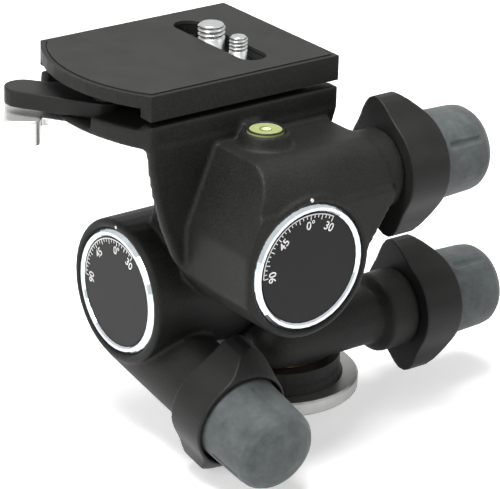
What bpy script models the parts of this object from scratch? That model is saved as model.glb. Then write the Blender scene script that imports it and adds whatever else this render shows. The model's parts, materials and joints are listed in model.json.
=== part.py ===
"""Geared tripod head: three worm drives that pan, tilt and roll a quick-release plate.

The origin is the centre of the base disc's underside, on the pan axis. X runs along the plate's
long side, Y away from the user, Z up. Units are metres.
"""
import math

import bmesh
import bpy
from mathutils import Matrix, Vector

MM = 0.001
DEGREE = math.pi / 180

# Clearances shared by the whole head
SEAT_GAP = 0.3 * MM
RUNNING_GAP = 0.5 * MM
CUT_OVERRUN = 0.2 * MM
WELD = 0.001 * MM
ROUND_STEPS = 40
BORE_STEPS = 28
SMALL_STEPS = 16
DOME_POINTS = 5
SHARP_ANGLE = 32 * DEGREE

# Base: machined disc on the tripod, black neck, spindle and thread bush
DISC_RADIUS = 30.0 * MM
DISC_THICKNESS = 5.3 * MM
DISC_EDGE = 0.6 * MM
BUSH_RADIUS = 8.0 * MM
BUSH_BORE = 4.76 * MM
NECK_RADIUS = 23.3 * MM
NECK_FOOT_RADIUS = 24.4 * MM
NECK_FOOT_HEIGHT = 2.2 * MM
NECK_HEIGHT = 8.0 * MM
SPINDLE_RADIUS = 6.0 * MM
SPINDLE_FLANGE_RADIUS = 9.0 * MM
SPINDLE_FLANGE_HEIGHT = 3.0 * MM
WASHER_THICKNESS = 0.9 * MM
WASHER_WALL = 5.0 * MM
WASHER_SETBACK = 2.4 * MM

# Joint axes: the tilt axis runs along X, the roll axis along Y
TILT_AXIS_Y = 8.7 * MM
TILT_AXIS_Z = 47.3 * MM
TILT_DIAL_X = -63.8 * MM
ROLL_AXIS_X = -31.3 * MM
ROLL_AXIS_Z = 72.9 * MM
ROLL_DIAL_Y = -58.1 * MM
TILT_KNOB_SLOPE = 10.5 * DEGREE

# Worm gears
WORM_PITCH_RADIUS = 5.2 * MM
TILT_CENTRES = 21.6 * MM
PAN_CENTRES = 16.7 * MM
TILT_TEETH = 48
PAN_TEETH = 32
TOOTH_TIP_RISE = 0.5 * MM
TOOTH_ROOT_DROP = 0.85 * MM
WHEEL_WIDTH = 7.0 * MM
THREAD_LENGTH = 16.0 * MM
THREAD_STEPS = 12
WHEEL_TOOTH_SHARES = (0.54, 0.24)
WORM_TOOTH_SHARES = (0.46, 0.22)

# Worm drive, measured outwards along the knob's axis from the worm's middle
SHAFT_TAIL = 10.8 * MM
TUBE_BORE = 7.0 * MM
TUBE_BORE_DEPTH = 11.2 * MM
TUBE_END = 41.0 * MM
TUBE_NECK_RADIUS = 11.2 * MM
TUBE_NECK_LENGTH = 9.0 * MM
BOSS_RADIUS = 14.3 * MM
SLEEVE_START = 12.0 * MM
SLEEVE_WALL = 2.0 * MM
LEVER_LENGTH = 16.6 * MM
LEVER_HUB_RADIUS = 18.0 * MM
LEVER_TIP_RADIUS = 24.6 * MM
LEVER_WING_LENGTH = 8.0 * MM
LEVER_SHARPNESS = 14
LEVER_OUTLINE_POINTS = 56
LEVER_CUP_RADIUS = 16.9 * MM
LEVER_CUP_DEPTH = 3.6 * MM
LEVER_EDGE = 0.8 * MM
KNOB_END = 82.6 * MM
KNOB_BASE_RADIUS = 15.9 * MM
KNOB_RADIUS = 15.2 * MM
KNOB_DOME = 8.0 * MM
KNOB_DOME_POWER = 2.4
KNOB_CORE_RADIUS = 8.0 * MM
KNOB_CORE_DEPTH = 15.0 * MM
KNOB_GROOVES = 3
KNOB_GROOVE_RADIUS = 1.6 * MM
KNOB_GROOVE_DEPTH = 0.7 * MM
KNOB_GROOVE_LENGTH = 14.0 * MM
KNOB_GROOVE_START = 3.0 * MM
PAN_WING_ANGLE = 77 * DEGREE
TILT_WING_ANGLE = -13 * DEGREE
ROLL_WING_ANGLE = -13 * DEGREE

# Barrels that hold the tilt and roll wheels, measured inwards from the dial's face
TILT_BARREL_RADIUS = 25.8 * MM
ROLL_BARREL_RADIUS = 25.1 * MM
BARREL_EDGE = 1.0 * MM
RIM_SETBACK = 0.2 * MM
DIAL_SETBACK = 0.6 * MM
DIAL_RADIUS = 19.3 * MM
DIAL_THICKNESS = 2.0 * MM
RING_RADIUS = 22.4 * MM
RING_BEVEL = 1.2 * MM
WORM_FROM_DIAL = 16.5 * MM
WHEEL_CAVITY_RADIUS = 18.2 * MM
WHEEL_CAVITY_DEPTH = 24.5 * MM
SPINDLE_SOCKET = 20.0 * MM
TILT_BARREL_LENGTH = 43.2 * MM
ROLL_BARREL_LENGTH = 34.8 * MM
DIAL_SCREW_RADIUS = 3.0 * MM
DIAL_SCREW_LENGTH = 8.0 * MM

# Pan housing
DRUM_RADIUS = 22.5 * MM
DRUM_HEIGHT = 23.0 * MM
DRUM_CROWN = 4.0 * MM
DRUM_FOOT = 1.6 * MM
PAN_WORM_LIFT = 11.0 * MM
PAN_CAVITY_RADIUS = 13.6 * MM
PAN_CAVITY_HEIGHT = 17.6 * MM
PAN_BEARING_HEIGHT = 3.6 * MM
PAN_TUBE_RADIUS = 10.5 * MM
PAN_DOME_START = 12.0 * MM
PAN_DOME_LENGTH = 10.5 * MM
BOSS_LENGTH = 11.5 * MM
BOSS_FLARE = 3.0 * MM
CHEEK_RADIUS = 19.6 * MM
CHEEK_THICKNESS = 22.0 * MM
CHEEK_ROOT_HALF_WIDTH = 12.5 * MM
CHEEK_ROOT_Z = 24.0 * MM
CHEEK_CAP_RADIUS = 14.0 * MM
CHEEK_CAP_HEIGHT = 5.0 * MM
CHEEK_CAP_EDGE = 2.0 * MM

# Tilt housing: barrel across, drum behind the roll barrel, sloping worm tube
ROLL_DRUM_RADIUS = 24.5 * MM
ROLL_DRUM_FLANGE = 7.0 * MM
ROLL_DRUM_BACK_RADIUS = 22.0 * MM
ROLL_DRUM_LENGTH = 28.0 * MM
ROLL_DRUM_EDGE = 3.0 * MM
TILT_TUBE_RADIUS = 14.3 * MM
TILT_DOME_START = 5.0 * MM
TILT_DOME_LENGTH = 9.0 * MM
TILT_DOME_POWER = 3.0

# Roll housing: barrel, worm tube, sloping panel, wall and clamp tray in one casting
ROLL_TUBE_RADIUS = 14.0 * MM
ROLL_DOME_START = 9.0 * MM
ROLL_DOME_LENGTH = 8.0 * MM
BLOCK_LEFT = 25.2 * MM
BLOCK_FACET_LOW = 9.0 * MM
BLOCK_FACET_HIGH = 8.4 * MM
BLOCK_TOP_LEFT = 14.2 * MM
BLOCK_TOP_RIGHT = 32.0 * MM
BLOCK_RIGHT = 36.0 * MM
BLOCK_RIGHT_HEIGHT = 18.0 * MM
BLOCK_WAIST_RIGHT = 24.0 * MM
BLOCK_UNDERCUT = 18.0 * MM
WALL_THICKNESS = 3.2 * MM
WALL_FOOT_SHARES = (0.57, 0.74, 0.86, 0.94, 0.99)
WALL_RISE_SHARES = (0.0, 0.19, 0.43, 0.66, 0.87)
WALL_DROP = 50.6 * MM
GUSSET_DEPTH = 36.0 * MM
GUSSET_HALF_WIDTH = 20.0 * MM
GUSSET_HEIGHT = 4.0 * MM
LEVEL_FORWARD = 8.8 * MM
LEVEL_RADIUS = 6.4 * MM
LEVEL_DEPTH = 3.6 * MM
LEVEL_BOSS_TOP_RADIUS = 7.8 * MM
LEVEL_BOSS_FOOT_RADIUS = 9.4 * MM
LEVEL_BOSS_HEIGHT = 5.0 * MM

# Quick-release plate and its clamp tray
PLATE_TOP_Z = 130.0 * MM
PLATE_RIGHT_X = 5.6 * MM
PLATE_LENGTH = 77.0 * MM
PLATE_FRONT_Y = -22.7 * MM
PLATE_WIDTH = 66.5 * MM
PLATE_BOW = 10.6 * MM
PLATE_THICKNESS = 4.4 * MM
PLATE_SKIRT = 4.35 * MM
PLATE_SKIRT_WALL = 6.0 * MM
PAD_THICKNESS = 1.2 * MM
PAD_MARGIN = 2.0 * MM
PAD_PROUD = 0.3 * MM
BOW_POINTS = 12
FOOT_LEFT = 13.0 * MM
FOOT_RIGHT = 7.0 * MM
FOOT_SIDE = 9.0 * MM
FOOT_DEPTH = 12.2 * MM
FOOT_WALL = 4.0 * MM
TRAY_THICKNESS = 6.4 * MM
TRAY_BOTTOM_Z = 110.6 * MM
TRAY_LIP = 1.9 * MM
TRAY_LIP_WALL = 5.4 * MM
TRAY_FLOOR = 2.2 * MM
TRAY_BOW_SHORTER = 2.0 * MM
SLOT_X = -20.0 * MM
SLOT_FRONT_Y = -12.5 * MM
SLOT_LENGTH = 47.0 * MM
SLOT_WIDTH = 10.4 * MM
SLOT_POINTS = 10

# Camera screws
LARGE_SCREW_Y = 15.6 * MM
LARGE_SCREW_RADIUS = 4.76 * MM
SMALL_SCREW_Y = 0.0 * MM
SMALL_SCREW_RADIUS = 3.17 * MM
SCREW_STAND = 4.7 * MM
SCREW_HEAD_RADIUS = 7.4 * MM
SCREW_HEAD_HEIGHT = 4.0 * MM
SCREW_POINT = 0.8 * MM
SCREW_SLOT_WIDTH = 1.4 * MM
SCREW_SLOT_DEPTH = 1.2 * MM

# Clamp lever and safety catch, both on one upright screw at the tray's curved end
CLAMP_PIVOT_X = -67.0 * MM
CLAMP_PIVOT_Y = 10.5 * MM
CLAMP_SCREW_RADIUS = 2.4 * MM
CLAMP_SCREW_HEAD = 4.4 * MM
CLAMP_SCREW_HEAD_HEIGHT = 1.4 * MM
LEVER_ANGLE = 126 * DEGREE
LEVER_SWING = 60 * DEGREE
LEVER_REACH = 36.0 * MM
LEVER_HUB = 7.4 * MM
LEVER_WAIST = 6.4 * MM
LEVER_TIP = 6.4 * MM
LEVER_HEIGHT = 6.0 * MM
LEVER_FLOOR = 2.0 * MM
CATCH_REACH = 30.0 * MM
CATCH_NECK = 4.6 * MM
CATCH_PAD_X = -84.3 * MM
CATCH_PAD_Y = 34.7 * MM
CATCH_PAD_LENGTH = 24.8 * MM
CATCH_PAD_WIDTH = 12.6 * MM
CATCH_PAD_CORNER = 3.0 * MM
CATCH_PAD_ANGLE = 56.6 * DEGREE
CORNER_POINTS = 4
CATCH_HUB = 5.4 * MM
CATCH_HEIGHT = 3.0 * MM
CATCH_PAD_DROP = 6.0 * MM
CLAMP_NUT_HEIGHT = 0.8 * MM

# Colours
SATIN_BLACK = ((0.022, 0.022, 0.021), 0.48, 0.0)
PLAIN_BLACK = ((0.016, 0.016, 0.016), 0.6, 0.0)
RUBBER_GREY = ((0.055, 0.062, 0.062), 0.75, 0.0)
PAD_GREY = ((0.045, 0.045, 0.043), 0.9, 0.0)
BARE_STEEL = ((0.56, 0.56, 0.55), 0.3, 1.0)
CHROME = ((0.75, 0.77, 0.78), 0.12, 1.0)
BRASS = ((0.66, 0.5, 0.24), 0.32, 1.0)
SILVER_PAINT = ((0.52, 0.52, 0.51), 0.4, 0.8)
LEVEL_GREEN = ((0.62, 0.66, 0.16), 0.15, 0.0)

# Places worked out from the sizes above
NECK_BOTTOM = DISC_THICKNESS + SEAT_GAP
NECK_TOP = NECK_BOTTOM + NECK_HEIGHT
DRUM_BOTTOM = NECK_TOP + WASHER_THICKNESS + 2 * SEAT_GAP
PAN_WORM_Z = DRUM_BOTTOM + PAN_WORM_LIFT
ROLL_BARREL_BACK = ROLL_DIAL_Y + RIM_SETBACK + ROLL_BARREL_LENGTH
TILT_BARREL_END = TILT_DIAL_X + RIM_SETBACK + TILT_BARREL_LENGTH
LEVER_START = TUBE_END + RUNNING_GAP
LEVER_END = LEVER_START + LEVER_LENGTH
KNOB_START = LEVER_END - LEVER_CUP_DEPTH + RUNNING_GAP
TRAY_TOP_Z = TRAY_BOTTOM_Z + TRAY_THICKNESS
PLATE_BACK_Y = PLATE_FRONT_Y + PLATE_WIDTH
PLATE_MIDDLE_Y = PLATE_FRONT_Y + PLATE_WIDTH / 2
PLATE_LEFT_X = PLATE_RIGHT_X - PLATE_LENGTH
PLATE_UNDER_Z = PLATE_TOP_Z - PAD_PROUD - PLATE_THICKNESS


def frame(origin, x_axis, y_axis, z_axis):
    """A matrix whose columns are three axes and an origin."""
    columns = [Vector(axis).to_4d() for axis in (x_axis, y_axis, z_axis)]
    matrix = Matrix([list(column)[:3] + [0.0] for column in columns] + [[0.0, 0.0, 0.0, 1.0]]).transposed()
    matrix.translation = Vector(origin)
    return matrix


SLOPE_SIN = math.sin(TILT_KNOB_SLOPE)
SLOPE_COS = math.cos(TILT_KNOB_SLOPE)
TILT_WORM_X = TILT_DIAL_X + WORM_FROM_DIAL
ROLL_WORM_Y = ROLL_DIAL_Y + WORM_FROM_DIAL
UPRIGHT = Matrix.Identity(4)
PAN_DRIVE = frame((0, -PAN_CENTRES, PAN_WORM_Z), (0, 1, 0), (0, 0, 1), (1, 0, 0))
TILT_DRIVE = frame((TILT_WORM_X, TILT_AXIS_Y + TILT_CENTRES * SLOPE_SIN, TILT_AXIS_Z - TILT_CENTRES * SLOPE_COS),
                   (0, -SLOPE_SIN, SLOPE_COS), (-1, 0, 0), (0, -SLOPE_COS, -SLOPE_SIN))
ROLL_DRIVE = frame((ROLL_AXIS_X, ROLL_WORM_Y, ROLL_AXIS_Z + TILT_CENTRES), (0, 0, -1), (0, 1, 0), (1, 0, 0))
TILT_BARREL = frame((TILT_DIAL_X, TILT_AXIS_Y, TILT_AXIS_Z), (0, -1, 0), (0, 0, 1), (-1, 0, 0))
ROLL_BARREL = frame((ROLL_AXIS_X, ROLL_DIAL_Y, ROLL_AXIS_Z), (1, 0, 0), (0, 0, 1), (0, -1, 0))
# Outlines drawn in X and Z are pushed along Y; outlines drawn in Y and Z along X
FACING_FRONT = frame((0, 0, 0), (1, 0, 0), (0, 0, 1), (0, -1, 0))
FACING_RIGHT = frame((0, 0, 0), (0, 1, 0), (0, 0, 1), (1, 0, 0))


def clear_scene():
    for item in list(bpy.data.objects):
        bpy.data.objects.remove(item, do_unlink=True)


def collection(name):
    found = bpy.data.collections.new(name)
    bpy.context.scene.collection.children.link(found)
    return found


clear_scene()
PARTS = collection("geared_tripod_head")
SHAPING = collection("shaping_solids")


def material(name, look):
    colour, roughness, metallic = look
    made = bpy.data.materials.new(name)
    made.use_nodes = True
    shader = made.node_tree.nodes["Principled BSDF"]
    shader.inputs["Base Color"].default_value = (*colour, 1.0)
    shader.inputs["Roughness"].default_value = roughness
    shader.inputs["Metallic"].default_value = metallic
    made.diffuse_color = (*colour, 1.0)
    return made


def joint_empty(name, location):
    """An empty on a joint's axis that carries the pieces which move with it."""
    empty = bpy.data.objects.new(name, None)
    empty.location = location
    SHAPING.objects.link(empty)
    return empty


def solid(name, mesh, matrix):
    made = bpy.data.objects.new(name, mesh)
    made.matrix_world = matrix
    SHAPING.objects.link(made)
    made.hide_render = True
    made.display_type = "WIRE"
    return made


def turned(name, profile, matrix, steps=ROUND_STEPS):
    """A solid turned about local Z from (radius, height) points that run from top to bottom."""
    mesh = bpy.data.meshes.new(name)
    points = [(radius, 0.0, height) for radius, height in profile]
    mesh.from_pydata(points, [(i, i + 1) for i in range(len(points) - 1)], [])
    made = solid(name, mesh, matrix)
    screw = made.modifiers.new("turn", "SCREW")
    screw.axis = "Z"
    screw.steps = steps
    screw.render_steps = steps
    screw.use_merge_vertices = True
    screw.merge_threshold = WELD
    return made


def rod(name, radius, low, high, matrix, steps=ROUND_STEPS):
    return turned(name, [(0, high), (radius, high), (radius, low), (0, low)], matrix, steps)


def pushed(name, outline, low, high, matrix):
    """A flat outline pushed along local Z from low to high."""
    curve = bpy.data.curves.new(name, "CURVE")
    curve.dimensions = "2D"
    curve.fill_mode = "BOTH"
    curve.extrude = (high - low) / 2
    spline = curve.splines.new("POLY")
    spline.points.add(len(outline) - 1)
    for point, (x, y) in zip(spline.points, outline):
        point.co = (x, y, 0.0, 1.0)
    spline.use_cyclic_u = True
    drawn = bpy.data.objects.new(name, curve)
    SHAPING.objects.link(drawn)
    mesh = evaluated_mesh(drawn)
    bpy.data.objects.remove(drawn, do_unlink=True)
    return solid(name, mesh, matrix @ Matrix.Translation((0, 0, (low + high) / 2)))


def evaluated_mesh(item):
    """The mesh that an object shows with its modifiers, welded."""
    bpy.context.view_layer.update()
    graph = bpy.context.evaluated_depsgraph_get()
    mesh = bpy.data.meshes.new_from_object(item.evaluated_get(graph))
    shape = bmesh.new()
    shape.from_mesh(mesh)
    bmesh.ops.remove_doubles(shape, verts=shape.verts, dist=WELD)
    bmesh.ops.recalc_face_normals(shape, faces=shape.faces)
    shape.to_mesh(mesh)
    shape.free()
    return mesh


def combine(base, operation, *others):
    for other in others:
        change = base.modifiers.new(operation.lower(), "BOOLEAN")
        change.operation = operation
        change.solver = "EXACT"
        change.object = other
    return base


def finish(name, shape, look, carrier):
    """Settles a shaped solid into a named part that its joint's empty carries."""
    mesh = evaluated_mesh(shape)
    mesh.transform(shape.matrix_world)
    mesh.name = name
    part = bpy.data.objects.new(name, mesh)
    PARTS.objects.link(part)
    mesh.materials.clear()
    mesh.materials.append(material(name, look))
    mesh.shade_smooth()
    mesh.set_sharp_from_angle(angle=SHARP_ANGLE)
    part.parent = carrier
    part.matrix_parent_inverse = carrier.matrix_world.inverted()
    operands = [change.object for change in shape.modifiers if change.type == "BOOLEAN"]
    for used in operands + [shape]:
        bpy.data.objects.remove(used, do_unlink=True)
    return part


def arc(radius, start, end, points, centre=(0.0, 0.0)):
    """Points along an arc, both ends included."""
    step = (end - start) / (points - 1)
    angles = [start + i * step for i in range(points)]
    return [(centre[0] + radius * math.cos(a), centre[1] + radius * math.sin(a)) for a in angles]


def dome(radius, start, end, power=2.0):
    """A closed round end as (radius, height) points, from height start to height end at the axis."""
    points = []
    for i in range(DOME_POINTS + 1):
        share = math.sin(i / DOME_POINTS * math.pi / 2)
        points.append((radius * (1 - share ** power) ** (1 / power), start + (end - start) * share))
    points[-1] = (0.0, end)
    return points


ROOT = joint_empty("fixed_base", (0, 0, 0))
PAN = joint_empty("pan_axis", (0, 0, PAN_WORM_Z))
TILT = joint_empty("tilt_axis", (TILT_WORM_X, TILT_AXIS_Y, TILT_AXIS_Z))
ROLL = joint_empty("roll_axis", (ROLL_AXIS_X, ROLL_WORM_Y, ROLL_AXIS_Z))
CLAMP = joint_empty("clamp_axis", (CLAMP_PIVOT_X, CLAMP_PIVOT_Y, TRAY_TOP_Z))
CATCH = joint_empty("catch_axis", (CLAMP_PIVOT_X, CLAMP_PIVOT_Y, TRAY_BOTTOM_Z))
PLATE = joint_empty("plate_lift", (PLATE_RIGHT_X - PLATE_LENGTH / 2, PLATE_MIDDLE_Y, PLATE_TOP_Z))
LARGE_SCREW = joint_empty("large_screw_axis", (SLOT_X, LARGE_SCREW_Y, PLATE_TOP_Z))
SMALL_SCREW = joint_empty("small_screw_axis", (SLOT_X, SMALL_SCREW_Y, PLATE_TOP_Z))
bpy.context.view_layer.update()


# Base disc with a bush that takes the tripod's screw
def build_base():
    disc = turned("disc", [
        (0, DISC_THICKNESS), (DISC_RADIUS - DISC_EDGE, DISC_THICKNESS),
        (DISC_RADIUS, DISC_THICKNESS - DISC_EDGE), (DISC_RADIUS, DISC_EDGE),
        (DISC_RADIUS - DISC_EDGE, 0), (0, 0)], UPRIGHT)
    hole = rod("disc_hole", BUSH_RADIUS + SEAT_GAP, -CUT_OVERRUN, DISC_THICKNESS + CUT_OVERRUN, UPRIGHT, BORE_STEPS)
    finish("base_disc", combine(disc, "DIFFERENCE", hole), BARE_STEEL, ROOT)

    bush = rod("bush", BUSH_RADIUS, 0, DISC_THICKNESS, UPRIGHT, BORE_STEPS)
    thread = rod("bush_bore", BUSH_BORE, -CUT_OVERRUN, DISC_THICKNESS + CUT_OVERRUN, UPRIGHT, BORE_STEPS)
    finish("base_thread_bush", combine(bush, "DIFFERENCE", thread), BARE_STEEL, ROOT)

    neck = turned("neck", [
        (0, NECK_TOP), (NECK_RADIUS, NECK_TOP), (NECK_RADIUS, NECK_BOTTOM + NECK_FOOT_HEIGHT),
        (NECK_FOOT_RADIUS, NECK_BOTTOM), (0, NECK_BOTTOM)], UPRIGHT)
    flange_top = NECK_BOTTOM + SPINDLE_FLANGE_HEIGHT
    pocket = rod("flange_pocket", SPINDLE_FLANGE_RADIUS + SEAT_GAP, NECK_BOTTOM - CUT_OVERRUN,
                 flange_top + SEAT_GAP, UPRIGHT, BORE_STEPS)
    bore = rod("spindle_hole", SPINDLE_RADIUS + SEAT_GAP, NECK_BOTTOM, NECK_TOP + CUT_OVERRUN, UPRIGHT, BORE_STEPS)
    finish("base_neck", combine(neck, "DIFFERENCE", pocket, bore), SATIN_BLACK, ROOT)

    spindle_top = DRUM_BOTTOM + PAN_CAVITY_HEIGHT + PAN_BEARING_HEIGHT - SEAT_GAP
    spindle = turned("spindle", [
        (0, spindle_top), (SPINDLE_RADIUS, spindle_top), (SPINDLE_RADIUS, flange_top),
        (SPINDLE_FLANGE_RADIUS, flange_top), (SPINDLE_FLANGE_RADIUS, NECK_BOTTOM), (0, NECK_BOTTOM)],
        UPRIGHT, BORE_STEPS)
    finish("pan_spindle", spindle, BARE_STEEL, ROOT)

    low = NECK_TOP + SEAT_GAP
    high = low + WASHER_THICKNESS
    outer = DRUM_RADIUS - DRUM_FOOT - WASHER_SETBACK
    washer = rod("washer", outer, low, high, UPRIGHT)
    hole = rod("washer_hole", outer - WASHER_WALL, low - CUT_OVERRUN, high + CUT_OVERRUN, UPRIGHT, BORE_STEPS)
    finish("pan_thrust_washer", combine(washer, "DIFFERENCE", hole), BRASS, ROOT)


# Worm wheel: slanted teeth that lie along the worm's thread
def worm_wheel(name, drive, centres, teeth, carrier):
    pitch_radius = centres - WORM_PITCH_RADIUS
    pitch = math.tau * pitch_radius / teeth
    slant = math.atan(pitch / (math.tau * WORM_PITCH_RADIUS))
    turn = math.tan(slant) * WHEEL_WIDTH / 2 / pitch_radius
    root, tip = (pitch_radius - TOOTH_ROOT_DROP, pitch_radius + TOOTH_TIP_RISE)
    root_share, tip_share = WHEEL_TOOTH_SHARES
    step = math.tau / teeth
    outline = []
    for i in range(teeth):
        middle = (i + 1 / 2) * step
        for radius, share in ((root, -root_share), (tip, -tip_share), (tip, tip_share), (root, root_share)):
            outline.append((radius, middle + share * step / 2))
    wheel = frame(drive @ Vector((centres, 0, 0)), -drive.col[0].to_3d(), drive.col[2].to_3d(), drive.col[1].to_3d())
    shape = bmesh.new()
    rings = []
    for side in (-1, 1):
        ring = []
        for radius, angle in outline:
            spun = angle + side * turn
            place = (radius * math.cos(spun), radius * math.sin(spun), side * WHEEL_WIDTH / 2)
            ring.append(shape.verts.new(place))
        rings.append(ring)
    low, high = rings
    count = len(outline)
    for i in range(count):
        j = (i + 1) % count
        shape.faces.new((low[i], low[j], high[j], high[i]))
    shape.faces.new(list(reversed(low)))
    shape.faces.new(high)
    mesh = bpy.data.meshes.new(name)
    shape.to_mesh(mesh)
    shape.free()
    gear = solid(name + "_blank", mesh, wheel)
    reach = WHEEL_WIDTH / 2 + CUT_OVERRUN
    bore = rod("wheel_bore", SPINDLE_RADIUS + SEAT_GAP, -reach, reach, wheel, BORE_STEPS)
    finish(name, combine(gear, "DIFFERENCE", bore), BRASS, carrier)


# Worm: one thread on a long shaft that the knob turns
def worm(name, drive, centres, teeth, carrier):
    pitch_radius = centres - WORM_PITCH_RADIUS
    pitch = math.tau * pitch_radius / teeth
    root, crest = (WORM_PITCH_RADIUS - TOOTH_ROOT_DROP, WORM_PITCH_RADIUS + TOOTH_TIP_RISE)
    root_share, crest_share = WORM_TOOTH_SHARES
    half = THREAD_LENGTH / 2
    turns = int(half / pitch) + 2
    corners = ((-root_share, root), (-crest_share, crest), (crest_share, crest), (root_share, root))
    shape = bmesh.new()
    rows = []
    for step in range(THREAD_STEPS):
        angle = math.tau * step / THREAD_STEPS
        heights = []
        for k in range(-turns, turns + 1):
            for share, radius in corners:
                height = pitch * (k + step / THREAD_STEPS + share / 2)
                inside = abs(height) < half
                heights.append((height if inside else math.copysign(half, height), radius if inside else root))
        row = [shape.verts.new((root * math.cos(angle), root * math.sin(angle), -SHAFT_TAIL))]
        for height, radius in heights:
            row.append(shape.verts.new((radius * math.cos(angle), radius * math.sin(angle), height)))
        row.append(shape.verts.new((root * math.cos(angle), root * math.sin(angle), KNOB_START + KNOB_CORE_DEPTH)))
        rows.append(row)
    count = len(rows[0])
    for step in range(THREAD_STEPS):
        here = rows[step]
        there = rows[(step + 1) % THREAD_STEPS]
        # The thread climbs one pitch a turn, so the last row meets the first one tooth further on
        skip = len(corners) if step == THREAD_STEPS - 1 else 0
        for i in range(1, count - 2 - skip):
            shape.faces.new((here[i], there[i + skip], there[i + skip + 1], here[i + 1]))
        shape.faces.new([here[0]] + there[:skip + 2] + [here[1]])
        shape.faces.new(here[count - 2 - skip:][::-1] + there[count - 2:])
    shape.faces.new([row[0] for row in reversed(rows)])
    shape.faces.new([row[-1] for row in rows])
    bmesh.ops.remove_doubles(shape, verts=shape.verts, dist=WELD)
    bmesh.ops.triangulate(shape, faces=shape.faces)
    mesh = bpy.data.meshes.new(name)
    shape.to_mesh(mesh)
    shape.free()
    finish(name, solid(name + "_blank", mesh, drive), BARE_STEEL, carrier)


# Butterfly lever: a collar with two wings that lifts the worm out of mesh
def release_lever(name, drive, wing_angle, carrier):
    reach = LEVER_TIP_RADIUS - LEVER_HUB_RADIUS
    outline = []
    for i in range(LEVER_OUTLINE_POINTS):
        angle = math.tau * i / LEVER_OUTLINE_POINTS
        radius = LEVER_HUB_RADIUS + reach * abs(math.cos(angle)) ** LEVER_SHARPNESS
        outline.append((radius * math.cos(angle + wing_angle), radius * math.sin(angle + wing_angle)))
    body = pushed("lever_blank", outline, LEVER_START, LEVER_END, drive)
    wing_end = LEVER_START + LEVER_WING_LENGTH
    envelope = turned("lever_envelope", [
        (0, LEVER_END + CUT_OVERRUN), (LEVER_HUB_RADIUS - LEVER_EDGE, LEVER_END + CUT_OVERRUN),
        (LEVER_HUB_RADIUS + SEAT_GAP, LEVER_END - LEVER_EDGE),
        (LEVER_TIP_RADIUS + SEAT_GAP, wing_end),
        (LEVER_TIP_RADIUS + SEAT_GAP, LEVER_START - CUT_OVERRUN), (0, LEVER_START - CUT_OVERRUN)], drive)
    collar = rod("lever_back", TUBE_NECK_RADIUS + SEAT_GAP, LEVER_START - CUT_OVERRUN,
                 TUBE_END + TUBE_NECK_LENGTH + RUNNING_GAP, drive)
    cup = rod("lever_cup", LEVER_CUP_RADIUS, LEVER_END - LEVER_CUP_DEPTH, LEVER_END + 2 * CUT_OVERRUN, drive)
    hole = rod("lever_hole", TUBE_BORE, LEVER_START, LEVER_END, drive, BORE_STEPS)
    combine(body, "INTERSECT", envelope)
    combine(body, "DIFFERENCE", collar, cup, hole)
    finish(name, body, PLAIN_BLACK, carrier)


# Worm drive: worm, eccentric sleeve, butterfly lever and rubber knob on a moulded core
def build_drive(name, drive, centres, teeth, wing_angle):
    knob_axis = joint_empty(name + "_knob_axis", drive.translation)
    lever_axis = joint_empty(name + "_lever_axis", drive.translation)
    bpy.context.view_layer.update()
    worm(name + "_worm", drive, centres, teeth, knob_axis)

    inner = TUBE_BORE - SLEEVE_WALL
    sleeve_end = LEVER_END - LEVER_CUP_DEPTH - SEAT_GAP
    sleeve = rod("sleeve", TUBE_BORE - SEAT_GAP, SLEEVE_START, sleeve_end, drive, BORE_STEPS)
    hole = rod("sleeve_bore", inner, SLEEVE_START - CUT_OVERRUN, sleeve_end + CUT_OVERRUN, drive, BORE_STEPS)
    finish(name + "_release_sleeve", combine(sleeve, "DIFFERENCE", hole), BRASS, lever_axis)
    release_lever(name + "_release_lever", drive, wing_angle, lever_axis)

    shaft_radius = WORM_PITCH_RADIUS - TOOTH_ROOT_DROP + SEAT_GAP
    core_end = KNOB_START + KNOB_CORE_DEPTH + 2 * SEAT_GAP
    core_top = core_end + KNOB_GROOVE_RADIUS
    core = rod("core", KNOB_CORE_RADIUS, KNOB_START, core_top, drive, BORE_STEPS)
    hole = rod("core_bore", shaft_radius, KNOB_START - CUT_OVERRUN, core_end, drive, BORE_STEPS)
    finish(name + "_knob_core", combine(core, "DIFFERENCE", hole), PLAIN_BLACK, knob_axis)

    dome_start = KNOB_END - KNOB_DOME
    profile = list(reversed(dome(KNOB_RADIUS, dome_start, KNOB_END, KNOB_DOME_POWER)))
    profile += [(KNOB_BASE_RADIUS, KNOB_START), (0, KNOB_START)]
    knob = turned("knob", profile, drive)
    bore = rod("knob_bore", KNOB_CORE_RADIUS + SEAT_GAP, KNOB_START - CUT_OVERRUN, core_top + SEAT_GAP, drive, BORE_STEPS)
    grooves = []
    for i in range(KNOB_GROOVES):
        around = Matrix.Rotation(math.tau * i / KNOB_GROOVES, 4, "Z")
        offset = KNOB_RADIUS + KNOB_GROOVE_RADIUS - KNOB_GROOVE_DEPTH
        lift = LEVER_END + KNOB_GROOVE_START
        place = drive @ around @ Matrix.Translation((offset, 0, 0))
        end = lift + KNOB_GROOVE_LENGTH
        grooves.append(rod("knob_groove", KNOB_GROOVE_RADIUS, lift, end, place, SMALL_STEPS))
    finish(name + "_knob", combine(knob, "DIFFERENCE", bore, *grooves), RUBBER_GREY, knob_axis)


def worm_tube(drive, radius, tail, boss=True):
    """The outside of a worm's housing: closed end, tube, boss and the neck inside the lever."""
    profile = [(0, TUBE_END + TUBE_NECK_LENGTH), (TUBE_NECK_RADIUS, TUBE_END + TUBE_NECK_LENGTH),
               (TUBE_NECK_RADIUS, TUBE_END)]
    if boss:
        profile += [(BOSS_RADIUS, TUBE_END), (BOSS_RADIUS, TUBE_END - BOSS_LENGTH),
                    (radius, TUBE_END - BOSS_LENGTH - BOSS_FLARE)]
    else:
        profile += [(radius, TUBE_END)]
    return turned("worm_tube", profile + tail, drive)


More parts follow.
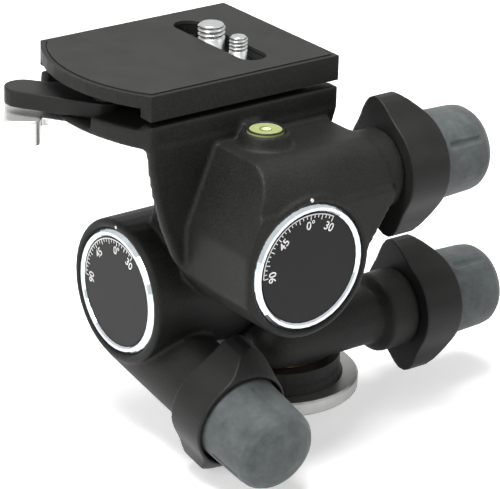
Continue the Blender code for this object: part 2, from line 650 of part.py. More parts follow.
def worm_bore(drive):
    end = TUBE_END + TUBE_NECK_LENGTH + CUT_OVERRUN
    return rod("worm_bore", TUBE_BORE, -TUBE_BORE_DEPTH, end, drive, BORE_STEPS)


# Pan housing: wheel drum, worm tube and the cheek that holds the tilt spindle
def build_pan_housing():
    top = DRUM_BOTTOM + DRUM_HEIGHT
    body = turned("drum", [
        (0, top), (DRUM_RADIUS - DRUM_CROWN, top), (DRUM_RADIUS, top - DRUM_CROWN),
        (DRUM_RADIUS, DRUM_BOTTOM + DRUM_FOOT), (DRUM_RADIUS - DRUM_FOOT, DRUM_BOTTOM), (0, DRUM_BOTTOM)], UPRIGHT)
    tube = worm_tube(PAN_DRIVE, PAN_TUBE_RADIUS,
                     dome(PAN_TUBE_RADIUS, -PAN_DOME_START, -PAN_DOME_START - PAN_DOME_LENGTH))
    axis = (TILT_AXIS_Y, TILT_AXIS_Z)
    outline = arc(CHEEK_RADIUS, 0, math.pi, ROUND_STEPS // 2, axis)
    outline += [(TILT_AXIS_Y - CHEEK_ROOT_HALF_WIDTH, CHEEK_ROOT_Z), (TILT_AXIS_Y + CHEEK_ROOT_HALF_WIDTH, CHEEK_ROOT_Z)]
    cheek_left = TILT_BARREL_END + SEAT_GAP
    cheek_right = cheek_left + CHEEK_THICKNESS
    cheek = pushed("cheek", outline, cheek_left, cheek_right, FACING_RIGHT)
    behind = frame((cheek_right, *axis), (0, 1, 0), (0, 0, 1), (1, 0, 0))
    cap = turned("cheek_cap", [
        (0, CHEEK_CAP_HEIGHT), (CHEEK_CAP_RADIUS - CHEEK_CAP_EDGE, CHEEK_CAP_HEIGHT),
        (CHEEK_CAP_RADIUS, CHEEK_CAP_HEIGHT - CHEEK_CAP_EDGE), (CHEEK_CAP_RADIUS, -CHEEK_CAP_EDGE),
        (0, -CHEEK_CAP_EDGE)], behind)
    cavity_top = DRUM_BOTTOM + PAN_CAVITY_HEIGHT
    cavity = rod("pan_cavity", PAN_CAVITY_RADIUS, DRUM_BOTTOM - CUT_OVERRUN, cavity_top, UPRIGHT)
    bearing = rod("pan_bearing", SPINDLE_RADIUS + SEAT_GAP, DRUM_BOTTOM, cavity_top + PAN_BEARING_HEIGHT,
                  UPRIGHT, BORE_STEPS)
    socket = rod("tilt_socket", SPINDLE_RADIUS + SEAT_GAP, cheek_left - CUT_OVERRUN, cheek_left + SPINDLE_SOCKET,
                 frame((0, *axis), (0, 1, 0), (0, 0, 1), (1, 0, 0)), BORE_STEPS)
    # The tilt barrel turns in a scallop of the drum
    scallop = rod("barrel_scallop", TILT_BARREL_RADIUS + RUNNING_GAP, TILT_DIAL_X, cheek_left,
                  frame((0, *axis), (0, 1, 0), (0, 0, 1), (1, 0, 0)))
    combine(body, "UNION", tube, cheek, cap)
    combine(body, "DIFFERENCE", scallop, cavity, bearing, worm_bore(PAN_DRIVE), socket)
    finish("pan_housing", body, SATIN_BLACK, PAN)


def barrel(matrix, radius, length):
    """The outside of a wheel barrel, its rim just behind the dial's face."""
    rim = -RIM_SETBACK
    return turned("barrel", [
        (0, rim), (radius - BARREL_EDGE, rim), (radius, rim - BARREL_EDGE),
        (radius, rim - length), (0, rim - length)], matrix)


def barrel_cuts(matrix, length):
    """Seat of the dial ring, hollow of the worm wheel and bearing of the spindle."""
    seat = DIAL_THICKNESS + SEAT_GAP
    ring = rod("ring_seat", RING_RADIUS + SEAT_GAP, -seat, CUT_OVERRUN, matrix)
    hollow = rod("wheel_hollow", WHEEL_CAVITY_RADIUS, -WHEEL_CAVITY_DEPTH, 0, matrix)
    far = -RIM_SETBACK - length - CUT_OVERRUN
    bearing = rod("spindle_bearing", SPINDLE_RADIUS + SEAT_GAP, far, -WHEEL_CAVITY_DEPTH + CUT_OVERRUN, matrix, BORE_STEPS)
    return ring, hollow, bearing


# Dial group: spindle, wheel, black dial, bevelled ring and the screw behind the dial
def build_dial(name, matrix, length, drive, carrier):
    back = -DIAL_THICKNESS - SEAT_GAP
    root = -RIM_SETBACK - length - SPINDLE_SOCKET
    spindle = rod("dial_spindle", SPINDLE_RADIUS, root, back, matrix, BORE_STEPS)
    screw_room = rod("screw_room", DIAL_SCREW_RADIUS + SEAT_GAP, back - DIAL_SCREW_LENGTH - SEAT_GAP,
                     back + CUT_OVERRUN, matrix, SMALL_STEPS)
    finish(name + "_spindle", combine(spindle, "DIFFERENCE", screw_room), BARE_STEEL, carrier)
    screw = rod("dial_screw", DIAL_SCREW_RADIUS, back - DIAL_SCREW_LENGTH, back, matrix, SMALL_STEPS)
    finish(name + "_dial_screw", screw, BARE_STEEL, carrier)
    dial = rod("dial", DIAL_RADIUS, -DIAL_THICKNESS, -DIAL_SETBACK, matrix)
    finish(name + "_dial", dial, PLAIN_BLACK, carrier)
    inner = DIAL_RADIUS + SEAT_GAP
    ring = turned("ring", [
        (0, 0), (RING_RADIUS - RING_BEVEL, 0), (RING_RADIUS, -RING_BEVEL), (RING_RADIUS, -DIAL_THICKNESS),
        (0, -DIAL_THICKNESS)], matrix)
    hole = turned("ring_hole", [
        (0, CUT_OVERRUN), (inner + DIAL_SETBACK + CUT_OVERRUN, CUT_OVERRUN), (inner, -DIAL_SETBACK),
        (inner, -DIAL_THICKNESS - CUT_OVERRUN), (0, -DIAL_THICKNESS - CUT_OVERRUN)], matrix)
    finish(name + "_dial_ring", combine(ring, "DIFFERENCE", hole), CHROME, carrier)
    worm_wheel(name + "_worm_wheel", drive, TILT_CENTRES, TILT_TEETH, carrier)


# Tilt housing: tilt barrel, drum that carries the roll spindle, sloping worm tube
def build_tilt_housing():
    body = barrel(TILT_BARREL, TILT_BARREL_RADIUS, TILT_BARREL_LENGTH)
    front = -(RIM_SETBACK + ROLL_BARREL_LENGTH + 2 * SEAT_GAP)
    back = front - ROLL_DRUM_LENGTH
    flange = front - ROLL_DRUM_FLANGE
    drum = turned("roll_drum", [
        (0, front), (ROLL_DRUM_RADIUS, front), (ROLL_DRUM_RADIUS, flange),
        (ROLL_DRUM_BACK_RADIUS, flange - ROLL_DRUM_EDGE), (ROLL_DRUM_BACK_RADIUS, back + ROLL_DRUM_EDGE),
        (ROLL_DRUM_BACK_RADIUS - ROLL_DRUM_EDGE, back), (0, back)], ROLL_BARREL)
    tube = worm_tube(TILT_DRIVE, TILT_TUBE_RADIUS,
                     dome(TILT_TUBE_RADIUS, -TILT_DOME_START, -TILT_DOME_START - TILT_DOME_LENGTH,
                          TILT_DOME_POWER), boss=False)
    relief = rod("cheek_relief", CHEEK_RADIUS + RUNNING_GAP, TILT_BARREL_END, TILT_BARREL_END + CHEEK_THICKNESS,
                 frame((0, TILT_AXIS_Y, TILT_AXIS_Z), (0, 1, 0), (0, 0, 1), (1, 0, 0)))
    socket = rod("roll_socket", SPINDLE_RADIUS + SEAT_GAP, front - SPINDLE_SOCKET, front + CUT_OVERRUN,
                 ROLL_BARREL, BORE_STEPS)
    combine(body, "UNION", drum, tube)
    combine(body, "DIFFERENCE", relief, *barrel_cuts(TILT_BARREL, TILT_BARREL_LENGTH), worm_bore(TILT_DRIVE), socket)
    finish("tilt_housing", body, SATIN_BLACK, TILT)


def bowed_outline(left, right, front, back, bow, inset=0.0):
    """A plate's outline seen from above: straight sides and a bowed left end."""
    half = (back - front) / 2
    radius = (half * half + bow * bow) / (2 * bow)
    spread = math.asin(half / radius)
    centre = (left - bow + radius, (front + back) / 2)
    curve = arc(radius - inset, math.pi - spread, math.pi + spread, BOW_POINTS, centre)
    shaped = [(x, min(max(y, front + inset), back - inset)) for x, y in curve]
    return shaped + [(right - inset, front + inset), (right - inset, back - inset)]


def box(name, x, y, z):
    outline = [(x[0], y[0]), (x[1], y[0]), (x[1], y[1]), (x[0], y[1])]
    return pushed(name, outline, z[0], z[1], UPRIGHT)


# Roll housing: barrel, worm tube, panelled block, wall, tray and the level's boss in one casting
def build_roll_housing():
    body = barrel(ROLL_BARREL, ROLL_BARREL_RADIUS, ROLL_BARREL_LENGTH)
    tube = worm_tube(ROLL_DRIVE, ROLL_TUBE_RADIUS,
                     dome(ROLL_TUBE_RADIUS, -ROLL_DOME_START, -ROLL_DOME_START - ROLL_DOME_LENGTH), boss=False)
    top = ROLL_AXIS_Z + TILT_CENTRES + ROLL_TUBE_RADIUS
    x, z = ROLL_AXIS_X, ROLL_AXIS_Z
    block = pushed("block", [
        (x - BLOCK_LEFT, z - BLOCK_FACET_LOW), (x - BLOCK_UNDERCUT, z - BLOCK_UNDERCUT), (x, z),
        (x + BLOCK_WAIST_RIGHT, z), (x + BLOCK_RIGHT, z + BLOCK_RIGHT_HEIGHT),
        (x + BLOCK_TOP_RIGHT, top), (x - BLOCK_TOP_LEFT, top), (x - BLOCK_LEFT, z + BLOCK_FACET_HIGH)],
        -ROLL_BARREL_BACK, -ROLL_DIAL_Y - RIM_SETBACK - SEAT_GAP, FACING_FRONT)
    block_front = ROLL_WORM_Y - ROLL_TUBE_RADIUS
    over = TILT_CENTRES
    section = arc(ROLL_TUBE_RADIUS + CUT_OVERRUN, math.pi, math.pi / 2, ROUND_STEPS // 4,
                  (ROLL_WORM_Y, ROLL_AXIS_Z + TILT_CENTRES))
    section = [(y - (RIM_SETBACK if y < ROLL_WORM_Y - ROLL_TUBE_RADIUS / 2 else 0), h) for y, h in section]
    section += [(ROLL_BARREL_BACK + over, top + CUT_OVERRUN), (ROLL_BARREL_BACK + over, z - over),
                (block_front - over, z - over), (block_front - over, z + BLOCK_FACET_HIGH)]
    mask = pushed("block_mask", section, x - 2 * BLOCK_LEFT, x + 2 * BLOCK_RIGHT, FACING_RIGHT)
    combine(block, "INTERSECT", mask)

    wall_left = ROLL_AXIS_X - PLATE_LEFT_X
    wall_outline = []
    for out, up in zip(WALL_FOOT_SHARES, WALL_RISE_SHARES):
        wall_outline.append((x - wall_left * out, TRAY_BOTTOM_Z + RUNNING_GAP - WALL_DROP * (1 - up)))
    wall_outline.append((PLATE_LEFT_X, TRAY_BOTTOM_Z + RUNNING_GAP))
    wall_outline += [(PLATE_RIGHT_X, TRAY_BOTTOM_Z + RUNNING_GAP), (x + BLOCK_WAIST_RIGHT, z), (x, z)]
    wall = pushed("wall", wall_outline, -ROLL_BARREL_BACK - WALL_THICKNESS, -ROLL_BARREL_BACK, FACING_FRONT)
    wall_pocket = rod("wall_pocket", ROLL_BARREL_RADIUS + RUNNING_GAP,
                      -(RIM_SETBACK + ROLL_BARREL_LENGTH + GUSSET_DEPTH + WALL_THICKNESS),
                      -(RIM_SETBACK + ROLL_BARREL_LENGTH), ROLL_BARREL)
    gusset = box("gusset", (x - GUSSET_HALF_WIDTH, x + GUSSET_HALF_WIDTH),
                 (ROLL_BARREL_BACK, ROLL_BARREL_BACK + GUSSET_DEPTH),
                 (TRAY_BOTTOM_Z - GUSSET_HEIGHT, TRAY_BOTTOM_Z + RUNNING_GAP))

    bow = PLATE_BOW - TRAY_BOW_SHORTER
    tray = pushed("tray", bowed_outline(PLATE_LEFT_X, PLATE_RIGHT_X, PLATE_FRONT_Y, PLATE_BACK_Y, bow),
                  TRAY_BOTTOM_Z, TRAY_TOP_Z, UPRIGHT)
    front_lip = box("front_lip", (PLATE_LEFT_X, PLATE_RIGHT_X), (PLATE_FRONT_Y, PLATE_FRONT_Y + TRAY_LIP_WALL),
                    (TRAY_BOTTOM_Z + TRAY_FLOOR, TRAY_TOP_Z + TRAY_LIP))
    back_lip = box("back_lip", (PLATE_LEFT_X, PLATE_RIGHT_X), (PLATE_BACK_Y - TRAY_LIP_WALL, PLATE_BACK_Y),
                   (TRAY_BOTTOM_Z + TRAY_FLOOR, TRAY_TOP_Z + TRAY_LIP))
    foot_x = (PLATE_LEFT_X + FOOT_LEFT - SEAT_GAP, PLATE_RIGHT_X - FOOT_RIGHT + SEAT_GAP)
    foot_y = (PLATE_FRONT_Y + FOOT_SIDE - SEAT_GAP, PLATE_BACK_Y - FOOT_SIDE + SEAT_GAP)
    pocket = box("plate_pocket", foot_x, foot_y, (TRAY_BOTTOM_Z + TRAY_FLOOR, TRAY_TOP_Z + CUT_OVERRUN))
    lever_floor = TRAY_BOTTOM_Z + LEVER_FLOOR
    pivot = frame((CLAMP_PIVOT_X, CLAMP_PIVOT_Y, 0), (1, 0, 0), (0, 1, 0), (0, 0, 1))
    reach = LEVER_REACH + LEVER_TIP
    room = LEVER_HUB + RUNNING_GAP
    edge = math.asin(room / reach)
    sweep = [(room * math.cos(side), room * math.sin(side)) for side in (LEVER_ANGLE - math.pi / 2,)]
    sweep += arc(reach, LEVER_ANGLE - edge, LEVER_ANGLE + LEVER_SWING + edge, SLOT_POINTS)
    sweep += [(room * math.cos(side), room * math.sin(side)) for side in (LEVER_ANGLE + LEVER_SWING + math.pi / 2,)]
    slot = pushed("lever_slot", sweep, lever_floor, TRAY_TOP_Z + CUT_OVERRUN, pivot)
    hub_room = rod("lever_hub_room", room, lever_floor, TRAY_TOP_Z + CUT_OVERRUN, pivot, BORE_STEPS)
    screw_hole = rod("clamp_screw_hole", CLAMP_SCREW_RADIUS + SEAT_GAP, TRAY_BOTTOM_Z - CUT_OVERRUN,
                     TRAY_TOP_Z, pivot, SMALL_STEPS)

    level_y = PLATE_FRONT_Y - LEVEL_FORWARD
    level = Matrix.Translation((ROLL_AXIS_X, level_y, top))
    boss = turned("level_boss", [
        (0, LEVEL_BOSS_HEIGHT), (LEVEL_BOSS_TOP_RADIUS, LEVEL_BOSS_HEIGHT), (LEVEL_BOSS_FOOT_RADIUS, 0),
        (LEVEL_BOSS_FOOT_RADIUS, -LEVEL_BOSS_HEIGHT), (0, -LEVEL_BOSS_HEIGHT)], level)
    level_seat = rod("level_seat", LEVEL_RADIUS + SEAT_GAP, LEVEL_BOSS_HEIGHT - LEVEL_DEPTH - SEAT_GAP,
                     LEVEL_BOSS_HEIGHT + CUT_OVERRUN, level)
    combine(body, "UNION", tube, block, wall)
    combine(body, "UNION", gusset, tray, front_lip, back_lip, boss)
    combine(body, "DIFFERENCE", wall_pocket, pocket, slot, hub_room, screw_hole, level_seat)
    combine(body, "DIFFERENCE", *barrel_cuts(ROLL_BARREL, ROLL_BARREL_LENGTH), worm_bore(ROLL_DRIVE))
    finish("roll_housing", body, SATIN_BLACK, ROLL)
    bpy.data.objects.remove(mask, do_unlink=True)

    vial = rod("vial", LEVEL_RADIUS, LEVEL_BOSS_HEIGHT - LEVEL_DEPTH, LEVEL_BOSS_HEIGHT, level)
    finish("level_vial", vial, LEVEL_GREEN, ROLL)


def slot_outline(width):
    """The long hole for the camera screws, seen from above."""
    radius = width / 2
    low = SLOT_FRONT_Y + radius
    high = SLOT_FRONT_Y + SLOT_LENGTH - radius
    return (arc(radius, 0, math.pi, SLOT_POINTS, (SLOT_X, high))
            + arc(radius, math.pi, math.tau, SLOT_POINTS, (SLOT_X, low)))


# Quick-release plate: bowed plate with skirts, a hollow foot, a pad and two camera screws
def build_plate():
    rim_top = PLATE_TOP_Z - PAD_PROUD
    outline = bowed_outline(PLATE_LEFT_X, PLATE_RIGHT_X, PLATE_FRONT_Y, PLATE_BACK_Y, PLATE_BOW)
    body = pushed("plate", outline, PLATE_UNDER_Z, rim_top, UPRIGHT)
    skirt = box("skirt", (PLATE_LEFT_X, PLATE_RIGHT_X), (PLATE_FRONT_Y, PLATE_BACK_Y),
                (PLATE_UNDER_Z - PLATE_SKIRT, PLATE_UNDER_Z + CUT_OVERRUN))
    skirt_room = box("skirt_room", (PLATE_LEFT_X - CUT_OVERRUN, PLATE_RIGHT_X - PLATE_SKIRT_WALL),
                     (PLATE_FRONT_Y + PLATE_SKIRT_WALL, PLATE_BACK_Y - PLATE_SKIRT_WALL),
                     (PLATE_UNDER_Z - PLATE_SKIRT - CUT_OVERRUN, PLATE_UNDER_Z))
    foot_x = (PLATE_LEFT_X + FOOT_LEFT, PLATE_RIGHT_X - FOOT_RIGHT)
    foot_y = (PLATE_FRONT_Y + FOOT_SIDE, PLATE_BACK_Y - FOOT_SIDE)
    foot = box("foot", foot_x, foot_y, (PLATE_UNDER_Z - FOOT_DEPTH, PLATE_UNDER_Z + CUT_OVERRUN))
    hollow = box("foot_hollow", (foot_x[0] + FOOT_WALL, foot_x[1] - FOOT_WALL),
                 (foot_y[0] + FOOT_WALL, foot_y[1] - FOOT_WALL),
                 (PLATE_UNDER_Z - FOOT_DEPTH - CUT_OVERRUN, PLATE_UNDER_Z))
    recess_floor = PLATE_TOP_Z - PAD_THICKNESS
    recess = pushed("pad_recess", bowed_outline(PLATE_LEFT_X, PLATE_RIGHT_X, PLATE_FRONT_Y, PLATE_BACK_Y, PLATE_BOW,
                                                PAD_MARGIN - SEAT_GAP), recess_floor - SEAT_GAP, PLATE_TOP_Z, UPRIGHT)
    slot = pushed("screw_slot", slot_outline(SLOT_WIDTH), PLATE_UNDER_Z - CUT_OVERRUN, PLATE_TOP_Z, UPRIGHT)
    combine(body, "UNION", skirt)
    combine(body, "DIFFERENCE", skirt_room)
    combine(body, "UNION", foot)
    combine(body, "DIFFERENCE", hollow, recess, slot)
    finish("quick_release_plate", body, SATIN_BLACK, PLATE)

    pad = pushed("pad", bowed_outline(PLATE_LEFT_X, PLATE_RIGHT_X, PLATE_FRONT_Y, PLATE_BACK_Y, PLATE_BOW, PAD_MARGIN),
                 recess_floor, PLATE_TOP_Z, UPRIGHT)
    pad_slot = pushed("pad_slot", slot_outline(SLOT_WIDTH), recess_floor - CUT_OVERRUN,
                      PLATE_TOP_Z + CUT_OVERRUN, UPRIGHT)
    finish("plate_pad", combine(pad, "DIFFERENCE", pad_slot), PAD_GREY, PLATE)

    camera_screw("camera_screw_large", LARGE_SCREW_Y, LARGE_SCREW_RADIUS, LARGE_SCREW)
    camera_screw("camera_screw_small", SMALL_SCREW_Y, SMALL_SCREW_RADIUS, SMALL_SCREW)


def camera_screw(name, y, radius, carrier):
    """A captive screw: slotted head under the plate, thread standing above it."""
    at = Matrix.Translation((SLOT_X, y, 0))
    top = PLATE_TOP_Z + SCREW_STAND
    head_top = PLATE_UNDER_Z - SEAT_GAP
    head_low = head_top - SCREW_HEAD_HEIGHT
    screw = turned("screw", [
        (0, top), (radius - SCREW_POINT, top), (radius, top - SCREW_POINT), (radius, head_top),
        (SCREW_HEAD_RADIUS, head_top), (SCREW_HEAD_RADIUS, head_low), (0, head_low)], at, BORE_STEPS)
    half = SCREW_SLOT_WIDTH / 2
    reach = SCREW_HEAD_RADIUS + CUT_OVERRUN
    slot = box("coin_slot", (SLOT_X - reach, SLOT_X + reach), (y - half, y + half),
               (head_low - CUT_OVERRUN, head_low + SCREW_SLOT_DEPTH))
    finish(name, combine(screw, "DIFFERENCE", slot), BARE_STEEL, carrier)


def arm_outline(hub, waist, tip, reach):
    """A lever's outline along local X: round hub, narrower waist and round tip."""
    spread = math.acos((hub - waist) / reach)
    return (arc(hub, spread, math.tau - spread, SLOT_POINTS * 2)
            + arc(tip, -math.pi / 2, math.pi / 2, SLOT_POINTS, (reach - tip, 0)))


def rounded_outline(length, width, corner):
    """A rectangle about the local origin with round corners."""
    points = []
    for i in range(4):
        start = i * math.pi / 2
        along = length / 2 - corner if i in (0, 3) else corner - length / 2
        across = width / 2 - corner if i in (0, 1) else corner - width / 2
        points += arc(corner, start, start + math.pi / 2, CORNER_POINTS, (along, across))
    return points


# Clamp lever over the tray's end, with the safety catch under it and one screw through both
def build_clamp():
    turn = frame((CLAMP_PIVOT_X, CLAMP_PIVOT_Y, 0), (math.cos(LEVER_ANGLE), math.sin(LEVER_ANGLE), 0),
                 (-math.sin(LEVER_ANGLE), math.cos(LEVER_ANGLE), 0), (0, 0, 1))
    lever_low = TRAY_BOTTOM_Z + LEVER_FLOOR + SEAT_GAP
    lever_high = lever_low + LEVER_HEIGHT
    arm = pushed("arm", arm_outline(LEVER_HUB, LEVER_WAIST, LEVER_TIP, LEVER_REACH), lever_low, lever_high, turn)
    head_low = lever_high - CLAMP_SCREW_HEAD_HEIGHT
    hole = rod("arm_hole", CLAMP_SCREW_RADIUS + SEAT_GAP, lever_low - CUT_OVERRUN, lever_high, turn, SMALL_STEPS)
    sink = rod("arm_sink", CLAMP_SCREW_HEAD + SEAT_GAP, head_low - SEAT_GAP, lever_high + CUT_OVERRUN, turn, BORE_STEPS)
    finish("clamp_lever", combine(arm, "DIFFERENCE", hole, sink), PLAIN_BLACK, CLAMP)

    catch_high = TRAY_BOTTOM_Z - SEAT_GAP
    catch_low = catch_high - CATCH_HEIGHT
    nut_top = catch_low - SEAT_GAP
    screw = turned("clamp_screw", [
        (0, lever_high), (CLAMP_SCREW_HEAD, lever_high), (CLAMP_SCREW_HEAD, head_low),
        (CLAMP_SCREW_RADIUS, head_low), (CLAMP_SCREW_RADIUS, nut_top), (CLAMP_SCREW_HEAD, nut_top),
        (CLAMP_SCREW_HEAD, nut_top - CLAMP_NUT_HEIGHT), (0, nut_top - CLAMP_NUT_HEIGHT)], turn, SMALL_STEPS)
    finish("clamp_lever_screw", screw, BARE_STEEL, ROLL)

    neck = pushed("catch", arm_outline(CATCH_HUB, CATCH_NECK, CATCH_NECK, CATCH_REACH),
                  catch_low, catch_high, turn)
    along = frame((CATCH_PAD_X, CATCH_PAD_Y, 0), (math.cos(CATCH_PAD_ANGLE), math.sin(CATCH_PAD_ANGLE), 0),
                  (-math.sin(CATCH_PAD_ANGLE), math.cos(CATCH_PAD_ANGLE), 0), (0, 0, 1))
    tip = pushed("catch_tip", rounded_outline(CATCH_PAD_LENGTH, CATCH_PAD_WIDTH, CATCH_PAD_CORNER),
                 catch_low - CATCH_PAD_DROP, catch_high, along)
    hole = rod("catch_hole", CLAMP_SCREW_RADIUS + SEAT_GAP, catch_low - CUT_OVERRUN, catch_high + CUT_OVERRUN,
               turn, SMALL_STEPS)
    combine(neck, "UNION", tip)
    finish("safety_catch", combine(neck, "DIFFERENCE", hole), SILVER_PAINT, CATCH)


build_base()
worm_wheel("pan_worm_wheel", PAN_DRIVE, PAN_CENTRES, PAN_TEETH, ROOT)
build_pan_housing()
build_dial("tilt", TILT_BARREL, TILT_BARREL_LENGTH, TILT_DRIVE, PAN)
build_tilt_housing()
build_dial("roll", ROLL_BARREL, ROLL_BARREL_LENGTH, ROLL_DRIVE, TILT)
build_roll_housing()
build_drive("pan", PAN_DRIVE, PAN_CENTRES, PAN_TEETH, PAN_WING_ANGLE)
build_drive("tilt", TILT_DRIVE, TILT_CENTRES, TILT_TEETH, TILT_WING_ANGLE)
build_drive("roll", ROLL_DRIVE, TILT_CENTRES, TILT_TEETH, ROLL_WING_ANGLE)
build_plate()
build_clamp()
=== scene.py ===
import json
import math

import bpy
from mathutils import Matrix, Vector


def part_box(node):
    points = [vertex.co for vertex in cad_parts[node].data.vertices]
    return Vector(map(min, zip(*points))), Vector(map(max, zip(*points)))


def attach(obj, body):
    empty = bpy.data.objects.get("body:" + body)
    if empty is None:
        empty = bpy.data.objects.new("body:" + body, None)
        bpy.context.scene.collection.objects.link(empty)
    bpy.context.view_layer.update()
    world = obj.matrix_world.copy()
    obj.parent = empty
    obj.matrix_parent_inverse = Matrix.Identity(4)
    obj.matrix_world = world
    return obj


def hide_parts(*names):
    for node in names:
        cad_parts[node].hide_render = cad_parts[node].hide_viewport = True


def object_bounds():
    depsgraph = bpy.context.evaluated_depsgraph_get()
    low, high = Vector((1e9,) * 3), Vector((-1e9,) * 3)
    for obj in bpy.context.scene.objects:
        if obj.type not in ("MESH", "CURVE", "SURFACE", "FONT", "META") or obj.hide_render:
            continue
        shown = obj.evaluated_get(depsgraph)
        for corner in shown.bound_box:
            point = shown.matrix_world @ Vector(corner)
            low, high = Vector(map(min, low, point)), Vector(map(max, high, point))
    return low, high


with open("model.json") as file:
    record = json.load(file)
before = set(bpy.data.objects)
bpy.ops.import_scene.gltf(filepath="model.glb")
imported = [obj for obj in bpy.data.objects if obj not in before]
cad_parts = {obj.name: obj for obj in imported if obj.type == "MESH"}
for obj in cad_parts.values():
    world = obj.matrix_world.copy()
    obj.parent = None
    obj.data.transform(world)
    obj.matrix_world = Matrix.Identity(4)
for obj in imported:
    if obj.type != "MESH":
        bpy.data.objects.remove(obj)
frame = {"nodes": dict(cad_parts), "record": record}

MM = 0.001
DEGREE = math.pi / 180
nodes = frame["nodes"]
cad_low, cad_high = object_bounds()


# Castings
# The neck and the three housings are die-cast aluminium with a grainy black powder coat.
# The mould leaves every edge and inner corner slightly round.
class Field:
    """A value that varies over a surface: a node's socket that takes part in sums as a number does."""

    def __init__(self, tree, socket):
        self.tree = tree
        self.socket = socket

    def feed(self, place, value):
        if isinstance(value, Field):
            self.tree.links.new(value.socket, place)
        elif place.type == "RGBA":
            place.default_value = (*value, 1.0)
        else:
            place.default_value = value

    def sum_of(self, operation, first, second):
        made = self.tree.nodes.new("ShaderNodeMath")
        made.operation = operation
        self.feed(made.inputs[0], first)
        self.feed(made.inputs[1], second)
        return Field(self.tree, made.outputs[0])

    def __add__(self, other):
        return self.sum_of("ADD", self, other)

    def __mul__(self, other):
        return self.sum_of("MULTIPLY", self, other)

    __radd__ = __add__
    __rmul__ = __mul__

    def node(self, kind, settings=None, values=None, out=0):
        """Another node: its settings go in first, then the values or links of its sockets."""
        made = self.tree.nodes.new("ShaderNode" + kind)
        for name, value in (settings or {}).items():
            setattr(made, name, value)
        for name, value in (values or {}).items():
            self.feed(made.inputs[name], value)
        return Field(self.tree, made.outputs[out])

    def noise(self, size, detail=2.0, rough=0.5, stretch=(1.0, 1.0, 1.0)):
        """Soft noise whose patches are about one size across, in metres."""
        turned = self.node("Mapping", None, {"Vector": self, "Scale": stretch})
        values = {"Vector": turned, "Scale": 1 / size, "Detail": detail, "Roughness": rough}
        return self.node("TexNoise", None, values)

    def between(self, low, high):
        """Stretches the field so that low becomes 0 and high becomes 1, and clips it there."""
        return self.node("MapRange", {"clamp": True}, {"Value": self, "From Min": low, "From Max": high})

    def blend(self, dark, light):
        """A colour that runs from dark to light as the field runs from 0 to 1."""
        return self.node("Mix", {"data_type": "RGBA"}, {0: self, 6: dark, 7: light}, out=2)


def new_finish(name):
    """A new material, its shader, and the object's own coordinates as a field."""
    made = bpy.data.materials.new(name)
    made.use_nodes = True
    tree = made.node_tree
    place = tree.nodes.new("ShaderNodeTexCoord")
    return made, tree.nodes["Principled BSDF"], Field(tree, place.outputs["Object"])


def set_shader(shader, here, colour, roughness, metallic=0.0, height=None, depth=0.0):
    """Joins a finish's fields to the shader that shows them."""
    here.feed(shader.inputs["Base Color"], colour)
    here.feed(shader.inputs["Roughness"], roughness)
    shader.inputs["Metallic"].default_value = metallic
    if height is not None:
        bump = here.node("Bump", None, {"Height": height, "Distance": depth})
        here.feed(shader.inputs["Normal"], bump)


DULL = 0.14         # how much light the dull finishes mirror, where 0.5 is plain plastic


def powder_coat(name, dark, light, grain, depth, shine):
    """A dull coat whose grains, a little lighter than the ground, stand out of it."""
    made, shader, here = new_finish(name)
    fine = here.noise(grain, 3.0, 0.6)
    patches = here.noise(14 * MM, 3.0)
    grains = fine.between(0.42, 0.72)
    set_shader(shader, here, (patches * 0.35 + grains * 0.65).blend(dark, light),
               patches * 0.1 + fine * 0.12 + shine, 0.0, fine, depth)
    shader.inputs["Specular IOR Level"].default_value = DULL
    return made


MERGE = 0.001 * MM
CASTING_GRID = 0.75 * MM
BIG_CASTING_GRID = 0.8 * MM
CASTING_ROUNDS = 3
SMALL_GRID = 0.4 * MM
SMALL_ROUNDS = 4


def pick(piece):
    """Leaves one object selected and active."""
    bpy.ops.object.select_all(action="DESELECT")
    piece.select_set(True)
    bpy.context.view_layer.objects.active = piece


def apply_all(piece):
    pick(piece)
    for change in list(piece.modifiers):
        bpy.ops.object.modifier_apply(modifier=change.name)


def dress(piece, finish):
    piece.data.materials.clear()
    piece.data.materials.append(finish)


def merged_copy(node_name, piece_name):
    """A copy of a solid, with its loose triangles joined."""
    piece = bpy.data.objects.new(piece_name, nodes[node_name].data.copy())
    bpy.context.scene.collection.objects.link(piece)
    pick(piece)
    bpy.ops.object.mode_set(mode="EDIT")
    bpy.ops.mesh.select_all(action="SELECT")
    bpy.ops.mesh.remove_doubles(threshold=MERGE)
    bpy.ops.object.mode_set(mode="OBJECT")
    return piece


def body_of(node_name):
    bodies = frame["record"]["behaviour"]["bodies"]
    return next(name for name, held in bodies.items() if node_name in held)


def rounded_copy(node_name, piece_name, finish, grid, rounds):
    """A merged copy of a solid whose edges and inner corners are run round; it replaces the solid."""
    piece = merged_copy(node_name, piece_name)
    skin = piece.modifiers.new("skin", "REMESH")
    skin.mode = "VOXEL"
    skin.voxel_size = grid
    soften = piece.modifiers.new("soften", "SMOOTH")
    soften.iterations = rounds
    apply_all(piece)
    bpy.ops.object.shade_smooth()
    dress(piece, finish)
    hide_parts(node_name)
    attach(piece, body_of(node_name))


COAT = powder_coat("powder_coat", (0.004, 0.004, 0.004), (0.022, 0.022, 0.02), 0.45 * MM, 0.1 * MM, 0.38)
for housing in ("pan_housing", "tilt_housing"):
    rounded_copy(housing, housing + "_casting", COAT, CASTING_GRID, CASTING_ROUNDS)
rounded_copy("roll_housing", "roll_housing_casting", COAT, BIG_CASTING_GRID, CASTING_ROUNDS)
dress(nodes["base_neck"], COAT)


